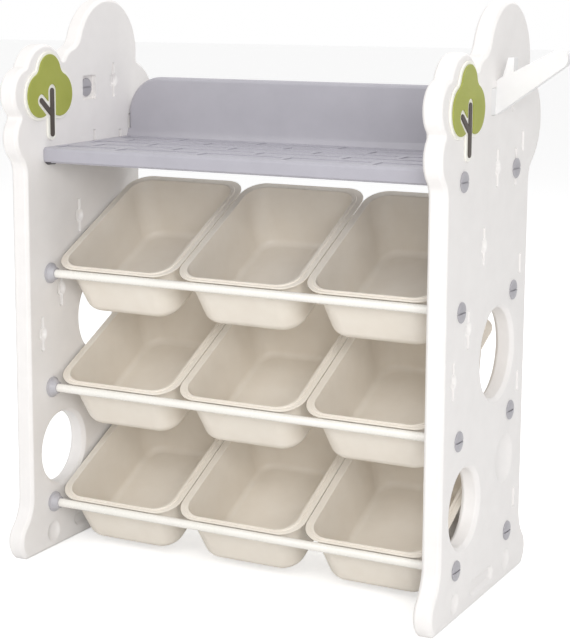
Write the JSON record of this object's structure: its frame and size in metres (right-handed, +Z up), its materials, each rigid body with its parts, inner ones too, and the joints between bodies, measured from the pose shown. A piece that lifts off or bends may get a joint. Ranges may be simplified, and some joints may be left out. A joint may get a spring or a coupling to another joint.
{
  "type": "toy storage organizer with bins",
  "caption": "Free-standing toy organizer: scalloped side panels joined by tubes carry rows of tilted lift-out bins, with a slotted shelf and back board on top and a hanging arm at one side.",
  "frame": {"origin": "centre of the bounding box seen from above, at floor level", "axes": "+X to the object's right as seen from the front, -Y to the front, +Z up"},
  "size_m": [0.8076, 0.3998, 0.857],
  "materials": {
    "panel_plastic": "satin, lightly grained, blow-moulded",
    "bin_plastic": "satin, injection-moulded",
    "shelf_plastic": "satin, injection-moulded",
    "board_plastic": "satin, injection-moulded",
    "tube_enamel": "smooth white enamel on steel tube",
    "collar_plastic": "satin",
    "cap_plastic": "satin",
    "arm_plastic": "satin",
    "badge_border_plastic": "satin",
    "badge_green_plastic": "satin",
    "badge_trunk_plastic": "satin"
  },
  "bodies": {
    "frame": {"left_side_panel": "panel_plastic", "right_side_panel": "panel_plastic", "shelf_tray": "shelf_plastic", "shelf_back_board": "board_plastic", "shelf_front_tube": "tube_enamel", "shelf_rear_tube": "tube_enamel", "upper_front_tube": "tube_enamel", "upper_rear_tube": "tube_enamel", "middle_front_tube": "tube_enamel", "middle_rear_tube": "tube_enamel", "lower_front_tube": "tube_enamel", "lower_rear_tube": "tube_enamel", "left_tube_collars": "collar_plastic", "right_tube_collars": "collar_plastic", "left_screw_caps": "cap_plastic", "right_screw_caps": "cap_plastic", "recess_caps": "cap_plastic", "hanger_arm": "arm_plastic", "tree_backings": "badge_border_plastic", "tree_crowns": "badge_green_plastic", "tree_trunks": "badge_trunk_plastic"},
    "bin_upper_left": {"bin_upper_left": "bin_plastic"},
    "bin_upper_centre": {"bin_upper_centre": "bin_plastic"},
    "bin_upper_right": {"bin_upper_right": "bin_plastic"},
    "bin_middle_left": {"bin_middle_left": "bin_plastic"},
    "bin_middle_centre": {"bin_middle_centre": "bin_plastic"},
    "bin_middle_right": {"bin_middle_right": "bin_plastic"},
    "bin_lower_left": {"bin_lower_left": "bin_plastic"},
    "bin_lower_centre": {"bin_lower_centre": "bin_plastic"},
    "bin_lower_right": {"bin_lower_right": "bin_plastic"}
  },
  "joints": [
    {"name": "bin_upper_left_lift", "type": "slide", "parent": "frame", "child": "bin_upper_left", "axis": [0, -0.4352, 0.9003], "range_m": [0, 0.03]},
    {"name": "bin_upper_centre_lift", "type": "slide", "parent": "frame", "child": "bin_upper_centre", "axis": [0, -0.4352, 0.9003], "range_m": [0, 0.03]},
    {"name": "bin_upper_right_lift", "type": "slide", "parent": "frame", "child": "bin_upper_right", "axis": [0, -0.4352, 0.9003], "range_m": [0, 0.03]},
    {"name": "bin_middle_left_lift", "type": "slide", "parent": "frame", "child": "bin_middle_left", "axis": [0, -0.4352, 0.9003], "range_m": [0, 0.03]},
    {"name": "bin_middle_centre_lift", "type": "slide", "parent": "frame", "child": "bin_middle_centre", "axis": [0, -0.4352, 0.9003], "range_m": [0, 0.03]},
    {"name": "bin_middle_right_lift", "type": "slide", "parent": "frame", "child": "bin_middle_right", "axis": [0, -0.4352, 0.9003], "range_m": [0, 0.03]},
    {"name": "bin_lower_left_lift", "type": "slide", "parent": "frame", "child": "bin_lower_left", "axis": [0, -0.4352, 0.9003], "range_m": [0, 0.03]},
    {"name": "bin_lower_centre_lift", "type": "slide", "parent": "frame", "child": "bin_lower_centre", "axis": [0, -0.4352, 0.9003], "range_m": [0, 0.03]},
    {"name": "bin_lower_right_lift", "type": "slide", "parent": "frame", "child": "bin_lower_right", "axis": [0, -0.4352, 0.9003], "range_m": [0, 0.03]}
  ]
}
